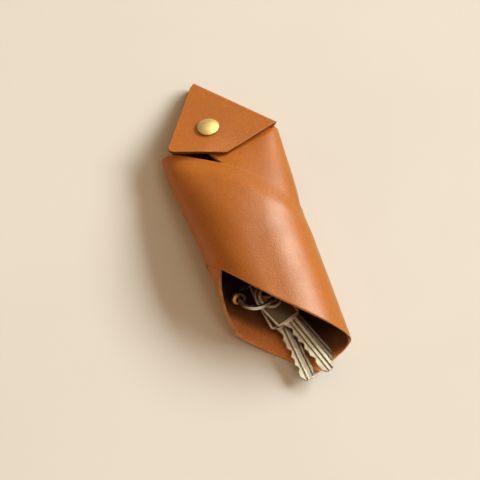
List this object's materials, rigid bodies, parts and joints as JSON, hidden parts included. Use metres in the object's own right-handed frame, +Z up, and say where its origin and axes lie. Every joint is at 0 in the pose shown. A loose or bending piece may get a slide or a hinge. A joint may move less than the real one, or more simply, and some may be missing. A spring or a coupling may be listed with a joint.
{
  "type": "leather key case with keys",
  "caption": "Flattened leather tube with a slanted open mouth, a snap flap at the closed end and keys on a split ring held by a brass eye inside.",
  "frame": {"origin": "a point of the flat back panel that the case lies on, midway along and across its straight part", "axes": "+X across the case to its right wall, +Y along the case from the open mouth to the flap, +Z up from the resting face"},
  "size_m": [0.0585, 0.1641, 0.024],
  "materials": {
    "inner_leather": "satin, fine grain",
    "outer_leather": "satin, fine grain",
    "brass": "satin, lightly worn",
    "spring_steel": "plain wire",
    "ring_steel": "satin",
    "key_metal": "worn nickel silver"
  },
  "bodies": {
    "case": {"inner_case": "inner_leather", "outer_wrap": "outer_leather", "snap_stud": "brass", "stud_post": "brass", "eye_post": "brass", "eye_cap": "brass"},
    "flap": {"flap": "outer_leather", "snap_cap": "brass", "snap_socket": "brass", "socket_spring": "spring_steel"},
    "ring": {"split_ring": "ring_steel"},
    "left_key": {"left_key": "key_metal"},
    "under_key": {"under_key": "key_metal"},
    "right_key": {"right_key": "key_metal"}
  },
  "joints": [
    {"name": "flap_hinge", "type": "hinge", "parent": "case", "child": "flap", "pos_m": [-0.001, 0.07959, 0.00335], "axis": [-0.6021, 0.775, -0.1922], "range_deg": [0, 165]},
    {"name": "ring_swing", "type": "hinge", "parent": "case", "child": "ring", "pos_m": [-0.0159, -0.0378, 0.0082], "axis": [0, 0.4384, 0.8988], "range_deg": [-5, 2]},
    {"name": "left_key_swing", "type": "hinge", "parent": "ring", "child": "left_key", "pos_m": [-0.00223, -0.03643, 0.00753], "axis": [0, -0.0872, 0.9962], "range_deg": [-6, 3]},
    {"name": "under_key_swing", "type": "hinge", "parent": "ring", "child": "under_key", "pos_m": [-0.00144, -0.03955, 0.00905], "axis": [0, -0.0872, 0.9962], "range_deg": [-8, 1]},
    {"name": "right_key_swing", "type": "hinge", "parent": "ring", "child": "right_key", "pos_m": [-0.00223, -0.04267, 0.01058], "axis": [0, -0.0872, 0.9962], "range_deg": [-8, 2]}
  ]
}
